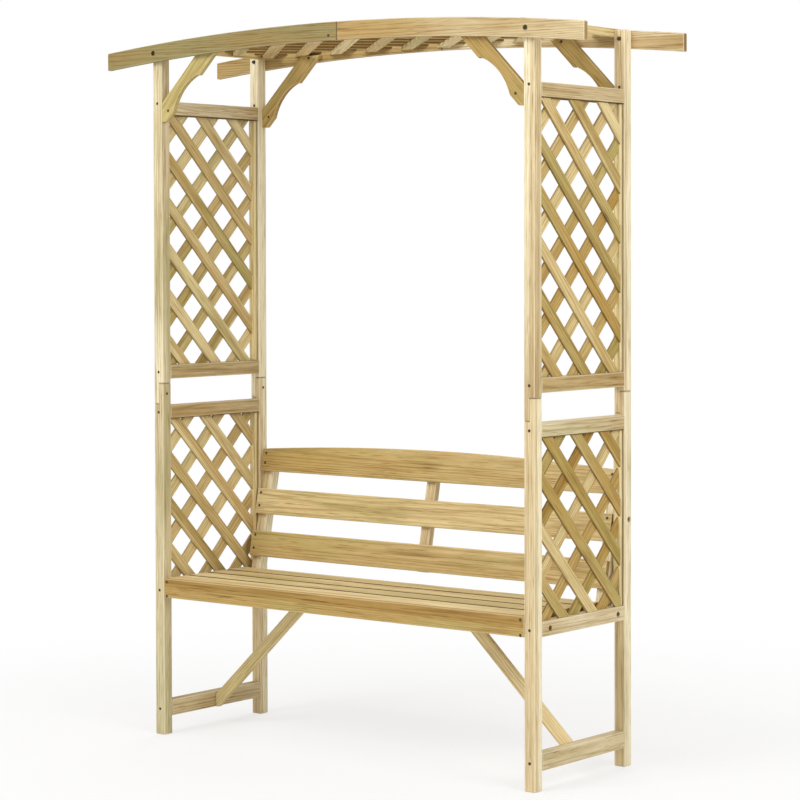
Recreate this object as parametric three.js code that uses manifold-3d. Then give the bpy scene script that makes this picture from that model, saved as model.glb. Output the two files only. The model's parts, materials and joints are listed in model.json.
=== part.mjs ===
// A garden arbour seat: two lattice side frames, an arched top, a slatted bench and a leaning back.
// Millimetres. x runs left to right, y from the front to the back, z up from the ground.
import * as THREE from 'three';
import { mergeVertices } from 'three/addons/utils/BufferGeometryUtils.js';
import Module from 'manifold-3d';

const wasm = await Module();
wasm.setup();

// Stock that the seat is made from
const squareStock = 34;
const boardThickness = 17;
const slatThickness = 7;
const easedEdge = 2;
const fit = 0.3;
const joinBite = 0.2;

// Side frames
const frameWidth = 1352;
const frameDepth = 458;
const postHeight = 2006;
const lapBottom = 965;
const lapLength = 60;
const railHeight = 40;
const stretcherHeight = 46;
const stretcherGroundGap = 52;
const railBelowLap = 4;
const railAboveLap = 13;
const topRailDrop = 162;

// Lattice
const latticeSlatWidth = 34;
const latticePitch = 134;
const latticeSetBack = 4;
const upperHoleFromFront = 51;
const upperHoleFromRail = 94;
const lowerHoleFromFront = 66;
const lowerHoleFromRail = 108;
const stopThickness = 12;
const stopWidth = 22;
const stopShadowGap = 2;

// Arched beams and the roof
const beamOverhang = 166;
const beamHeight = 50;
const beamFall = 45;
const beamCrown = 28;
const seamGap = 0.6;
const seamLap = 60;
const roofHoleFromBack = 28;
const roofHoleFromLeft = 85;
const roofBattenHeight = 22;

// Knee brackets, cut from a board that leans at 45 degrees
const bracketWidth = 50;
const bracketNeck = 30;
const bracketLength = 218;
const bracketPlumbCut = 54;
const bracketJog = 5;
const bracketCurveStart = 13;
const bracketCurveEnd = 154;

// Bench
const seatHeight = 458;
const apronHeight = 56;
const seatSlatGap = 7.7;
const seatBackGap = 17;

// Leaning back, measured along its slope from the height of the seat
const backLean = THREE.MathUtils.degToRad(12);
const backBoltHeight = 675;
const backBoltInset = 12;
const lowerSlatStart = 33.7;
const backSlatWidth = 76.8;
const backSlatGap = 51.8;
const crestGap = 53.7;
const crestEndWidth = 67;
const crestRise = 23;
const supportDrop = 5;
const centreSupportDepth = 22;
const centreSupportTopInset = 8;

// Braces under the bench
const braceWidth = 34;
const braceHeelHeight = 90;
const braceSlope = THREE.MathUtils.degToRad(43.3);

// Bolts and nuts
const boltRadius = 3;
const boltHeadRadius = 5.5;
const boltHeadHeight = 4;
const counterboreRadius = 7.5;
const counterboreDepth = 7;
const nutRadius = 5.5;
const nutHeight = 5;
const boltTail = 3;
const benchBoltFromFront = 70;
const cutOverrun = 20;

// Counts and turns
const boltSides = 6;
const seatSlatCount = 4;
const beamSteps = 9;
const crestSteps = 14;
const bracketSteps = 8;
const mergeTolerance = 1e-4;
const quarterTurn = Math.PI / 2;
const diagonal = Math.PI / 4;

// Places that follow from the sizes above
const outerFace = frameWidth / 2;
const innerFace = outerFace - squareStock;
const postCentre = outerFace - squareStock / 2;
const railFront = squareStock + fit;
const railBack = frameDepth - squareStock - fit;
const lapTop = lapBottom + lapLength;
const seatSlatBottom = seatHeight - boardThickness;
const seatFrameBottom = seatHeight - apronHeight;
const beamHalfLength = outerFace + beamOverhang;
const beamTop = postHeight + beamCrown;
const beamRadius = (beamHalfLength ** 2 + beamFall ** 2) / (2 * beamFall);
const latticeThickness = 2 * slatThickness;
const roofBottom = postHeight - latticeThickness;
const roofHalfWidth = innerFace - boardThickness - fit;
const bearerInnerFace = innerFace - squareStock;

const rails = {
  stretcher: [stretcherGroundGap, stretcherHeight],
  seat_rail: [seatFrameBottom, railHeight],
  lower_panel_rail: [lapBottom - railBelowLap - railHeight, railHeight],
  upper_panel_rail: [lapTop + railAboveLap, railHeight],
  top_rail: [postHeight - topRailDrop - railHeight, railHeight],
};
const sides = { left: -1, right: 1 };

// The front faces of the back slats pass this place at the height of the seat.
const leanTangent = Math.tan(backLean);
const leanedSlat = boardThickness / Math.cos(backLean);
const leanedSupport = squareStock / Math.cos(backLean);
const backBoltDepth = frameDepth - backBoltInset;
const supportFrontAtBolt = backBoltDepth - leanedSupport / 2;
const supportFront = (height) => supportFrontAtBolt + (height - backBoltHeight) * leanTangent;
const backFront = supportFront(seatHeight) - leanedSlat;
const seatBack = backFront - seatBackGap;

// Materials, in the colours of pressure-treated pine
function timber(colour, roughness) {
  return new THREE.MeshStandardMaterial({ color: colour, roughness, metalness: 0 });
}
const paleFrame = timber(0xe2cfa6, 0.62);
const honeyBoard = timber(0xd3b283, 0.6);
const ochreLattice = timber(0xb79a62, 0.68);
const zincSteel = new THREE.MeshStandardMaterial({ color: 0x5c5a54, roughness: 0.45, metalness: 0.85 });

const arbour = new THREE.Group();
const backrest = new THREE.Group();
arbour.add(backrest);

function addPiece(name, geometry, material, parent = arbour) {
  const piece = new THREE.Mesh(geometry, material);
  piece.name = name;
  parent.add(piece);
  return piece;
}

// Solids for cutting and joining
function solidOf(geometry) {
  const bare = new THREE.BufferGeometry();
  bare.setAttribute('position', geometry.getAttribute('position').clone());
  if (geometry.index) bare.setIndex(geometry.index.clone());
  const merged = mergeVertices(bare, mergeTolerance);
  return new wasm.Manifold(new wasm.Mesh({
    numProp: 3,
    vertProperties: new Float32Array(merged.getAttribute('position').array),
    triVerts: new Uint32Array(merged.index.array),
  }));
}

function geometryOf(solid) {
  const mesh = solid.getMesh();
  const geometry = new THREE.BufferGeometry();
  geometry.setAttribute('position', new THREE.BufferAttribute(mesh.vertProperties, mesh.numProp));
  geometry.setIndex(new THREE.BufferAttribute(mesh.triVerts, 1));
  geometry.computeVertexNormals();
  return geometry;
}

function blockGeometry(x, y, z) {
  const block = new THREE.BoxGeometry(x[1] - x[0], y[1] - y[0], z[1] - z[0]);
  return block.translate((x[0] + x[1]) / 2, (y[0] + y[1]) / 2, (z[0] + z[1]) / 2);
}

// Straight timber with its four long edges eased
function easedSection(width, height) {
  const w = width / 2;
  const h = height / 2;
  const corners = [[w, h - easedEdge], [w - easedEdge, h], [easedEdge - w, h], [-w, h - easedEdge],
    [-w, easedEdge - h], [easedEdge - w, -h], [w - easedEdge, -h], [w, easedEdge - h]];
  return new THREE.Shape(corners.map(([x, y]) => new THREE.Vector2(x, y)));
}

const axisTurns = {
  x: (geometry) => geometry.rotateY(quarterTurn).rotateX(quarterTurn),
  y: (geometry) => geometry.rotateX(-quarterTurn),
  z: (geometry) => geometry,
};

function timberGeometry(axis, x, y, z) {
  const size = { x: x[1] - x[0], y: y[1] - y[0], z: z[1] - z[0] };
  const sections = { x: [size.y, size.z], y: [size.x, size.z], z: [size.x, size.y] };
  const options = { depth: size[axis], bevelEnabled: false };
  const bar = new THREE.ExtrudeGeometry(easedSection(...sections[axis]), options);
  return axisTurns[axis](bar.translate(0, 0, -size[axis] / 2));
}

function addTimber(name, axis, x, y, z, material, parent = arbour) {
  const piece = addPiece(name, timberGeometry(axis, x, y, z), material, parent);
  piece.position.set((x[0] + x[1]) / 2, (y[0] + y[1]) / 2, (z[0] + z[1]) / 2);
  return piece;
}

// A board sawn to an outline, with the edges of both faces eased
function sawnBoard(points, thickness) {
  const outline = new THREE.Shape(points.map(([x, y]) => new THREE.Vector2(x, y)));
  const depth = thickness - 2 * easedEdge;
  const options = {
    depth, bevelEnabled: true, bevelSegments: 1, bevelThickness: easedEdge, bevelSize: easedEdge,
    bevelOffset: -easedEdge,
  };
  return new THREE.ExtrudeGeometry(outline, options).translate(0, 0, easedEdge);
}

// Stands an outline drawn in x and z upright, with its front face at a given depth.
function addFrontBoard(name, points, thickness, front, material, parent = arbour) {
  const piece = addPiece(name, sawnBoard(points, thickness), material, parent);
  piece.rotation.x = quarterTurn;
  piece.position.y = front + thickness;
  return piece;
}

// Stands an outline drawn in y and z upright, with its left face at a given x.
const sideOn = new THREE.Matrix4().makeBasis(
  new THREE.Vector3(0, 1, 0), new THREE.Vector3(0, 0, 1), new THREE.Vector3(1, 0, 0),
);
function addSideBoard(name, points, thickness, left, material, parent = arbour) {
  const piece = addPiece(name, sawnBoard(points, thickness), material, parent);
  piece.rotation.setFromRotationMatrix(sideOn);
  piece.position.x = left;
  return piece;
}

// Points of a shallow arc that leaves out its two ends
function sag(from, to, depth, steps) {
  const chord = Math.hypot(to[0] - from[0], to[1] - from[1]);
  const radius = (chord ** 2 / 4 + depth ** 2) / (2 * depth);
  const along = [(to[0] - from[0]) / chord, (to[1] - from[1]) / chord];
  const points = [];
  for (let step = 1; step < steps; step += 1) {
    const run = (chord * step) / steps;
    const drop = Math.sqrt(radius ** 2 - (run - chord / 2) ** 2) - (radius - depth);
    points.push([from[0] + along[0] * run - along[1] * drop, from[1] + along[1] * run + along[0] * drop]);
  }
  return points;
}

// Posts in two lengths that meet in a halved joint
function addPost(end, side, front) {
  const centre = sides[side] * postCentre;
  const x = [centre - squareStock / 2, centre + squareStock / 2];
  const y = [front, front + squareStock];
  const half = squareStock / 2 + cutOverrun;
  const lower = addTimber(`${end}_${side}_post_lower`, 'z', x, y, [0, lapTop], paleFrame);
  const upper = addTimber(`${end}_${side}_post_upper`, 'z', x, y, [lapBottom, postHeight], paleFrame);
  const lowerHalf = [lapBottom - lapTop / 2, lapTop / 2 + cutOverrun];
  const upperMiddle = (postHeight - lapBottom) / 2;
  const upperHalf = [-upperMiddle - cutOverrun, lapLength - upperMiddle + fit];
  cut(lower, blockGeometry([-half, fit / 2], [-half, half], lowerHalf));
  cut(upper, blockGeometry([-fit / 2, half], [-half, half], upperHalf));
}

function cut(piece, cutter) {
  piece.geometry = geometryOf(solidOf(piece.geometry).subtract(solidOf(cutter)));
}

function join(piece, addition) {
  piece.geometry = geometryOf(solidOf(piece.geometry).add(solidOf(addition)));
}

function addSideFrame(side) {
  addPost('front', side, 0);
  addPost('back', side, frameDepth - squareStock);
  const x = [innerFace, outerFace].map((face) => face * sides[side]).sort((a, b) => a - b);
  Object.entries(rails).forEach(([name, [bottom, height]]) => {
    addTimber(`${side}_${name}`, 'y', x, [railFront, railBack], [bottom, bottom + height], paleFrame);
  });
  addSidePanel(side, 'upper', 'upper_panel_rail', 'top_rail', upperHoleFromFront, upperHoleFromRail);
  addSidePanel(side, 'lower', 'seat_rail', 'lower_panel_rail', lowerHoleFromFront, lowerHoleFromRail);
}

function addSidePanel(side, level, railBelow, railOver, holeFromFront, holeFromRail) {
  const bottom = rails[railBelow][0] + rails[railBelow][1] + fit;
  const top = rails[railOver][0] - fit;
  const width = frameDepth - squareStock - stopShadowGap - stopThickness - railFront;
  const panel = addPiece(
    `${side}_${level}_lattice`,
    latticeGeometry(width, top - bottom, holeFromFront, holeFromRail),
    ochreLattice,
  );
  panel.rotation.setFromRotationMatrix(sideOn);
  const outerSkin = outerFace - latticeSetBack;
  const skins = [sides[side] * outerSkin, sides[side] * (outerSkin - latticeThickness)];
  const innerSkin = Math.min(...skins);
  panel.position.set(innerSkin, railFront, bottom);
  const stopMiddle = sides[side] * postCentre - innerSkin;
  const across = [width - joinBite, width + stopThickness];
  join(panel, blockGeometry(across, [0, top - bottom], [stopMiddle - stopWidth / 2, stopMiddle + stopWidth / 2]));
  dropOffcuts(panel);
}

// A lattice drawn in x and y, its rising slats below and its falling slats on top.
// The place given is the middle of one of its openings.
function latticeGeometry(width, height, holeX, holeY) {
  const length = 2 * (width + height);
  const thickness = slatThickness + joinBite;
  const layers = [
    { turn: diagonal, start: holeY - holeX, from: -width, to: height, z: thickness / 2 },
    { turn: -diagonal, start: holeY + holeX, from: 0, to: width + height, z: latticeThickness - thickness / 2 },
  ];
  const slats = [];
  layers.forEach(({ turn, start, from, to, z }) => {
    const first = Math.ceil((from - start) / latticePitch - 1);
    const last = Math.floor((to - start) / latticePitch + 1);
    for (let count = first; count <= last; count += 1) {
      const crossing = start + (count + 1 / 2) * latticePitch;
      const slat = new THREE.BoxGeometry(length, latticeSlatWidth, thickness).rotateZ(turn);
      const middleX = width / 2;
      const middleY = crossing + Math.sign(turn) * middleX;
      slats.push(solidOf(slat.translate(middleX, middleY, z)));
    }
  });
  const whole = wasm.Manifold.union(slats);
  const panel = solidOf(blockGeometry([0, width], [0, height], [-fit, latticeThickness + fit]));
  return geometryOf(whole.intersect(panel));
}

// Slat ends too short to reach a crossing fall away when the panel is trimmed.
function dropOffcuts(piece) {
  const bodies = solidOf(piece.geometry).decompose();
  piece.geometry = geometryOf(bodies.reduce((best, body) => (body.volume() > best.volume() ? body : best)));
}

// Arched beams, each in two halves that meet in a halved joint over the middle of the seat
function archDrop(x) {
  return beamRadius - Math.sqrt(beamRadius ** 2 - x ** 2);
}

function addBeam(end, front) {
  const start = (seamGap - seamLap) / 2;
  const [left, right] = Object.entries(sides).map(([side, way]) => {
    const stations = [];
    for (let step = 0; step <= beamSteps; step += 1) {
      stations.push(start + ((beamHalfLength - start) * step) / beamSteps);
    }
    const top = stations.map((x) => [way * x, beamTop - archDrop(x)]);
    const bottom = stations.map((x) => [way * x, beamTop - archDrop(x) - beamHeight]);
    return addFrontBoard(`${end}_beam_${side}`, [...top, ...bottom.reverse()], boardThickness, front, paleFrame);
  });
  const high = [beamTop - 2 * beamHeight, beamTop + cutOverrun];
  const shoulder = (seamLap + seamGap) / 2;
  const layer = boardThickness / 2;
  cut(left, blockGeometry([-shoulder, seamLap], high, [-cutOverrun, layer + fit / 2]));
  cut(right, blockGeometry([-seamLap, shoulder], high, [layer - fit / 2, boardThickness + cutOverrun]));
}

function addRoof() {
  const depth = frameDepth - 2 * fit;
  const roof = addPiece(
    'roof_lattice',
    latticeGeometry(depth, 2 * roofHalfWidth, roofHoleFromBack, roofHoleFromLeft),
    ochreLattice,
  );
  roof.rotation.z = -quarterTurn;
  roof.position.set(-roofHalfWidth, frameDepth - fit, roofBottom);
  const rise = (roofBattenHeight - latticeThickness) / 2;
  const battenHeight = [-rise, latticeThickness + rise];
  const right = 2 * roofHalfWidth;
  join(roof, blockGeometry([0, depth], [-boardThickness, joinBite], battenHeight));
  join(roof, blockGeometry([0, depth], [right - joinBite, right + boardThickness], battenHeight));
  dropOffcuts(roof);
}

// Knee brackets: their points are measured along and across the leaning board.
function bracketPlace(side, [along, across]) {
  const heel = roofBottom - fit - bracketLength * Math.SQRT1_2;
  const x = sides[side] * (innerFace - fit - (along + across) * Math.SQRT1_2);
  return [x, heel + (along - across) * Math.SQRT1_2];
}

function addBracket(end, side, front) {
  const footAcross = bracketPlumbCut * Math.SQRT1_2;
  const curveFoot = [bracketCurveStart, bracketWidth];
  const curveHead = [bracketCurveEnd, bracketWidth - bracketJog];
  const depth = bracketWidth - bracketNeck - bracketJog / 2;
  const outline = [
    [0, 0], [-footAcross, footAcross], [bracketWidth - 2 * footAcross, bracketWidth],
    curveFoot, ...sag(curveHead, curveFoot, depth, bracketSteps).reverse(), curveHead,
    [bracketCurveEnd, bracketWidth], [bracketLength + bracketWidth, bracketWidth], [bracketLength, 0],
  ];
  const points = outline.map((place) => bracketPlace(side, place));
  addFrontBoard(`${end}_${side}_bracket`, points, boardThickness, front, honeyBoard);
}

// The bench: an apron in front, slats behind it and the bearers under them
function addBench() {
  const x = [fit - innerFace, innerFace - fit];
  addTimber('seat_apron', 'x', x, [0, boardThickness], [seatFrameBottom, seatHeight], honeyBoard);
  const slatsFront = boardThickness + fit;
  const pitch = (seatBack - slatsFront + seatSlatGap) / seatSlatCount;
  for (let count = 0; count < seatSlatCount; count += 1) {
    const front = slatsFront + count * pitch;
    const y = [front, front + pitch - seatSlatGap];
    addTimber(`seat_slat_${count + 1}`, 'x', x, y, [seatSlatBottom, seatHeight], honeyBoard);
  }
  const under = [seatFrameBottom, seatSlatBottom - fit];
  const railY = [seatBack - boardThickness, seatBack];
  const railX = [fit - bearerInnerFace, bearerInnerFace - fit];
  addTimber('seat_back_rail', 'x', railX, railY, under, honeyBoard);
  const brace = braceOutline(seatFrameBottom - fit);
  Object.entries(sides).forEach(([side, way]) => {
    const bearerX = [bearerInnerFace, innerFace - fit].map((face) => face * way).sort((a, b) => a - b);
    const outline = [[slatsFront, under[0]], [supportFront(under[0]) - fit, under[0]],
      [supportFront(under[1]) - fit, under[1]], [slatsFront, under[1]]];
    addSideBoard(`${side}_seat_bearer`, outline, squareStock - fit, bearerX[0], honeyBoard);
    const middle = (way * (brace[1][0] + brace[2][0])) / 2;
    const middleX = [middle - squareStock / 2, middle + squareStock / 2];
    addTimber(`${side}_middle_bearer`, 'y', middleX, [slatsFront, railY[0] - fit], under, honeyBoard);
    const points = brace.map(([x, z]) => [way * x, z]);
    addFrontBoard(`${side}_brace`, points, boardThickness, (frameDepth - boardThickness) / 2, honeyBoard);
  });
}

// A brace rises from the stretcher to the middle bearer, which sits over its head.
function braceOutline(top) {
  const face = innerFace - fit;
  const slope = Math.tan(braceSlope);
  const shift = braceWidth / Math.sin(braceSlope);
  const headOuter = face - (top - braceHeelHeight) / slope;
  const footInner = face - (stretcherGroundGap - braceHeelHeight) / slope - shift;
  return [[face, braceHeelHeight], [headOuter, top], [headOuter - shift, top],
    [footInner, stretcherGroundGap], [face, stretcherGroundGap]];
}

// The back: its own group leans, and its y and z are measured square to and along the slats.
function addBackrest() {
  backrest.position.set(0, backFront, seatHeight);
  backrest.rotation.x = -backLean;
  const x = [fit - innerFace, innerFace - fit];
  const slatY = [0, boardThickness];
  const middleStart = lowerSlatStart + backSlatWidth + backSlatGap;
  const crestStart = middleStart + backSlatWidth + crestGap;
  const crestEnd = crestStart + crestEndWidth;
  const lowerZ = [lowerSlatStart, lowerSlatStart + backSlatWidth];
  const middleZ = [middleStart, middleStart + backSlatWidth];
  addTimber('back_slat_lower', 'x', x, slatY, lowerZ, honeyBoard, backrest);
  addTimber('back_slat_middle', 'x', x, slatY, middleZ, honeyBoard, backrest);
  const crest = [[x[0], crestStart], [x[1], crestStart], [x[1], crestEnd],
    ...sag([x[0], crestEnd], [x[1], crestEnd], crestRise, crestSteps).reverse(), [x[0], crestEnd]];
  addFrontBoard('back_crest_rail', crest, boardThickness, 0, honeyBoard, backrest);
  const supportY = [boardThickness + fit, boardThickness + squareStock];
  const footAt = (y) => ((seatFrameBottom - seatHeight) + y * Math.sin(backLean)) / Math.cos(backLean);
  const supportTop = crestEnd - supportDrop;
  Object.entries(sides).forEach(([side, way]) => {
    const supportX = [bearerInnerFace, innerFace - fit].map((face) => face * way).sort((a, b) => a - b);
    const outline = [[supportY[0], footAt(supportY[0])], [supportY[1], footAt(supportY[1])],
      [supportY[1], supportTop], [supportY[0], supportTop]];
    addSideBoard(`${side}_back_support`, outline, squareStock - fit, supportX[0], honeyBoard, backrest);
  });
  const centreX = [-squareStock / 2, squareStock / 2];
  const centreY = [supportY[0], supportY[0] + centreSupportDepth];
  const centreZ = [lowerSlatStart, crestEnd + crestRise - centreSupportTopInset];
  addTimber('centre_back_support', 'z', centreX, centreY, centreZ, honeyBoard, backrest);
}

// Bolts: the head lies in a counterbore and the nut bears on the far face of the timber.
const bores = [];

function turned(profile) {
  return new THREE.LatheGeometry(profile.map(([radius, run]) => new THREE.Vector2(radius, run)), boltSides);
}

function addBolt(name, head, way, grip) {
  const top = counterboreDepth - boltHeadHeight - fit;
  const seat = counterboreDepth - fit;
  const far = grip + fit;
  const end = far + nutHeight;
  const loose = boltRadius + fit;
  const body = turned([[0, top], [boltHeadRadius, top], [boltHeadRadius, seat], [boltRadius, seat],
    [boltRadius, far], [nutRadius, far], [nutRadius, end], [boltRadius, end], [boltRadius, end + boltTail],
    [0, end + boltTail]]);
  const bore = turned([[0, -cutOverrun], [counterboreRadius, -cutOverrun],
    [counterboreRadius, counterboreDepth], [loose, counterboreDepth], [loose, end], [0, end]]);
  const bolt = addPiece(name, body, zincSteel);
  bolt.quaternion.setFromUnitVectors(new THREE.Vector3(0, 1, 0), way);
  bolt.position.copy(head);
  bolt.updateMatrix();
  bore.applyMatrix4(bolt.matrix).computeBoundingBox();
  bores.push(bore);
}

const backward = new THREE.Vector3(0, 1, 0);
const forward = new THREE.Vector3(0, -1, 0);

function addBeamBolts(side, way) {
  const x = way * postCentre;
  const z = beamTop - archDrop(postCentre) - beamHeight / 2;
  const grip = boardThickness + squareStock;
  addBolt(`front_${side}_beam_bolt`, new THREE.Vector3(x, -boardThickness, z), backward, grip);
  addBolt(`back_${side}_beam_bolt`, new THREE.Vector3(x, frameDepth + boardThickness, z), forward, grip);
}

function addBenchBolts(side, way) {
  const inward = new THREE.Vector3(-way, 0, 0);
  const x = way * outerFace;
  const grip = 2 * squareStock;
  const z = (seatFrameBottom + seatSlatBottom) / 2;
  const supportMiddle = supportFront(z) + leanedSupport / 2;
  addBolt(`${side}_bearer_bolt`, new THREE.Vector3(x, benchBoltFromFront, z), inward, grip);
  addBolt(`${side}_support_bolt_lower`, new THREE.Vector3(x, supportMiddle, z), inward, grip);
  addBolt(`${side}_support_bolt_upper`, new THREE.Vector3(x, backBoltDepth, backBoltHeight), inward, grip);
}

// Bores the timber that each bolt passes through.
function boreTimber() {
  arbour.updateMatrixWorld(true);
  arbour.traverse((piece) => {
    if (!piece.isMesh || piece.material === zincSteel) return;
    const room = new THREE.Box3().setFromObject(piece, true);
    const back = piece.matrixWorld.clone().invert();
    const met = bores.filter((bore) => bore.boundingBox.intersectsBox(room));
    met.forEach((bore) => cut(piece, bore.clone().applyMatrix4(back)));
  });
}

addSideFrame('left');
addSideFrame('right');
addBeam('front', -boardThickness);
addBeam('back', frameDepth);
addRoof();
Object.keys(sides).forEach((side) => {
  addBracket('front', side, fit);
  addBracket('back', side, frameDepth - boardThickness - fit);
});
addBench();
addBackrest();
Object.entries(sides).forEach(([side, way]) => {
  addBeamBolts(side, way);
  addBenchBolts(side, way);
});
boreTimber();

// The origin lies on the ground under the middle of the whole seat.
const bounds = new THREE.Box3().setFromObject(arbour, true);
arbour.position.y = -(bounds.min.y + bounds.max.y) / 2;

export default arbour;
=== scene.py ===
# %% [markdown]
# # A garden arbour seat in pressure-treated pine
# The seat is a frame of square posts and rails, with lattice panels in its sides and
# roof, arched beams, shaped brackets, and a slatted bench with a leaning back. The frame
# that this scene starts from already holds every piece at its true size, so each piece of
# timber below takes its place from there and adds what a joiner's hands and a season
# outdoors add: rounded edges, grain that runs along each board, knots and green tints.

# %% Load the frame
import json
import math
import random

import bmesh
import bpy
from mathutils import Matrix, Vector

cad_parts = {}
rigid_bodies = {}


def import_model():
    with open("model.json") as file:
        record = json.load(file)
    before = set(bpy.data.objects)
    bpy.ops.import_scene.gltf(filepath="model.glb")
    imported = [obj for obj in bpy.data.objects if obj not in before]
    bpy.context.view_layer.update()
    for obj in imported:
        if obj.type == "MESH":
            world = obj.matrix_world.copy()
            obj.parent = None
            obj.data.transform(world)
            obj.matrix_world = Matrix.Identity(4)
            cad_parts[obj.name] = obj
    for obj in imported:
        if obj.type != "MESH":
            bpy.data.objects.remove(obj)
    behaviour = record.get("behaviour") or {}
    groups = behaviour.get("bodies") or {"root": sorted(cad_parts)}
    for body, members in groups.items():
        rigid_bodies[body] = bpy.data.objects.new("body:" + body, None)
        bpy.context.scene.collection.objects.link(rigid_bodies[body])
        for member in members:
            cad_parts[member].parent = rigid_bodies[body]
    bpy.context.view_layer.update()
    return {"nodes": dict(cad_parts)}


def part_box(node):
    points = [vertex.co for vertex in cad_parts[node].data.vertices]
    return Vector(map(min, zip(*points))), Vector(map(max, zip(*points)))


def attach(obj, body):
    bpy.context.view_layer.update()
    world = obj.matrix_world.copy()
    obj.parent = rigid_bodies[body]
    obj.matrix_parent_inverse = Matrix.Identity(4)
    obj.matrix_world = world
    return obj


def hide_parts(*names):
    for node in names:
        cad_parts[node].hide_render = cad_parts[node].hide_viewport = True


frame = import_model()
dice = random.Random(1203)
print("nodes in the frame:", len(frame["nodes"]))

# %% [markdown]
# The three directions of the seat, and the few sizes that the frame's boxes don't give by
# themselves. All lengths are in metres. Every size could be typed in here, but a number that
# is read from the frame's boxes can't drift from the pieces that it belongs to.

# %% Sizes shared by the pieces
RIGHT = Vector((1, 0, 0))
BACK = Vector((0, 1, 0))
UP = Vector((0, 0, 1))
STOCK = 0.034  # the square timber of the posts
BOARD = 0.017  # the thickness of beams, boards and brackets
SLAT = 0.007  # the thickness of a lattice slat
FIT = 0.0003  # the play between two pieces that touch
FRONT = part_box("front_left_post_lower")[0].y
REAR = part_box("back_left_post_lower")[1].y
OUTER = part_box("front_right_post_lower")[1].x
INNER = OUTER - STOCK
POST_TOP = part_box("front_left_post_upper")[1].z
SIDES = {"left": -1, "right": 1}
print("frame depth", round(REAR - FRONT, 4), "post top", round(POST_TOP, 4))

# %% [markdown]
# ## Shader sums
# Wood is a sum of many small patterns. Each sum could be wired up node by node, but twenty
# links are hard to read back. Writing the sums as Python expressions keeps them readable: a
# small class holds one socket, and each operator adds the Math node.

# %% A finish and its links
class Link:
    """One number of a finish, which can be used in sums."""

    def __init__(self, finish, socket):
        self.finish = finish
        self.socket = socket

    def math(self, operation, *others):
        values = {0: self}
        for place, other in enumerate(others, start=1):
            values[place] = other
        return self.finish.node("ShaderNodeMath", {"operation": operation}, values)["Value"]

    def __add__(self, other):
        return self.math("ADD", other)

    __radd__ = __add__

    def __mul__(self, other):
        return self.math("MULTIPLY", other)

    __rmul__ = __mul__

    def __sub__(self, other):
        return self.math("SUBTRACT", other)

    def __rsub__(self, other):
        return (self * -1.0) + other

    def __pow__(self, power):
        return self.math("POWER", power)

    def sine(self):
        return self.math("SINE")

    def root(self):
        return self.math("SQRT")

    def between(self, low, high):
        """0 below low, 1 above high and a smooth step in between."""
        settings = {"interpolation_type": "SMOOTHSTEP"}
        ramp = self.finish.node("ShaderNodeMapRange", settings, {0: self, 1: low, 2: high})
        return ramp["Result"]


class Finish:
    """A material whose nodes are added by one method."""

    def __init__(self, name):
        self.material = bpy.data.materials.new(name)
        self.material.use_nodes = True
        self.tree = self.material.node_tree
        self.shader = self.tree.nodes["Principled BSDF"]

    def node(self, kind, settings, values):
        made = self.tree.nodes.new(kind)
        for key, value in settings.items():
            setattr(made, key, value)
        for place, value in values.items():
            self.feed(made.inputs[place], value)
        return {socket.name: Link(self, socket) for socket in made.outputs if socket.enabled}

    def feed(self, socket, value):
        if isinstance(value, Link):
            self.tree.links.new(value.socket, socket)
        else:
            socket.default_value = value

    def mix(self, factor, low, high, blend="MIX"):
        settings = {"data_type": "RGBA", "blend_type": blend}
        return self.node("ShaderNodeMix", settings, {0: factor, 6: low, 7: high})["Result"]

    def noise(self, place, scale, detail=2.0, turn=0.0):
        settings = {"noise_dimensions": "4D"}
        values = {"Vector": place, "Scale": scale, "Detail": detail, "W": turn}
        return self.node("ShaderNodeTexNoise", settings, values)["Fac"]

    def shape(self, **values):
        for name, value in values.items():
            self.feed(self.shader.inputs[name.replace("_", " ")], value)


def colour(red, green, blue):
    """A colour picked on screen, from 0 to 255, as the linear colour a shader wants."""
    def linear(part):
        part = part / 255
        return part / 12.92 if part <= 0.04045 else ((part + 0.055) / 1.055) ** 2.4
    return (linear(red), linear(green), linear(blue), 1.0)


print("a mid pine in linear light:", [round(part, 3) for part in colour(205, 175, 125)])

# %% [markdown]
# ## Pine
# Sawn pine shows its growth rings: wide pale early wood and thin darker late wood. A board
# is cut from a slightly leaning log, so on its face the rings open into long arches, and on
# its end they are curved bands. A photo of wood could be laid on each face, but it would
# repeat, and it would not meet itself round an arris. So the look comes from measuring the
# distance from the log's heart in a space that follows each board: along it, across it and
# through it. Each point of a mesh carries that place as the attribute "grain". The attribute
# "look" holds four numbers of the board: a seed, how it was cut from the log, how dark it is
# (above 1 it also weathers towards grey), and how much green is left from the pressure
# treatment. So one finish serves a post, a slat and a lattice strip, and no two boards match.
#
# Three marks on the faces do the rest. "end" darkens sawn ends, where the cut fibres soak up
# light. "arris" pales the rounded edges. The third mark darkens the faces that look into a
# joint or a narrow gap: that is painted shade.

# %% The pine finishes
DARK_GRAIN_BROWN = (0.50, 0.385, 0.21, 1.0)
FIBRE_BROWN = (0.64, 0.57, 0.42, 1.0)
HEART_BROWN = (0.68, 0.53, 0.32, 1.0)
WEATHER_GREY = (0.56, 0.57, 0.50, 1.0)
KNOT_BROWN = colour(104, 66, 36)
# The next colour is painted shade, laid into joints and narrow gaps.
PAINTED_SHADE_BROWN = colour(88, 60, 22)
RING_WIDTH = 0.0046  # from one growth ring to the next
HEARTWOOD = (0.027, 0.031)  # its edge, as a distance from the log's heart
LOG_REACH = 0.07  # how far across the log a board can be cut
LOG_LEAN = 0.02  # how much the log leans along a board


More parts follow.
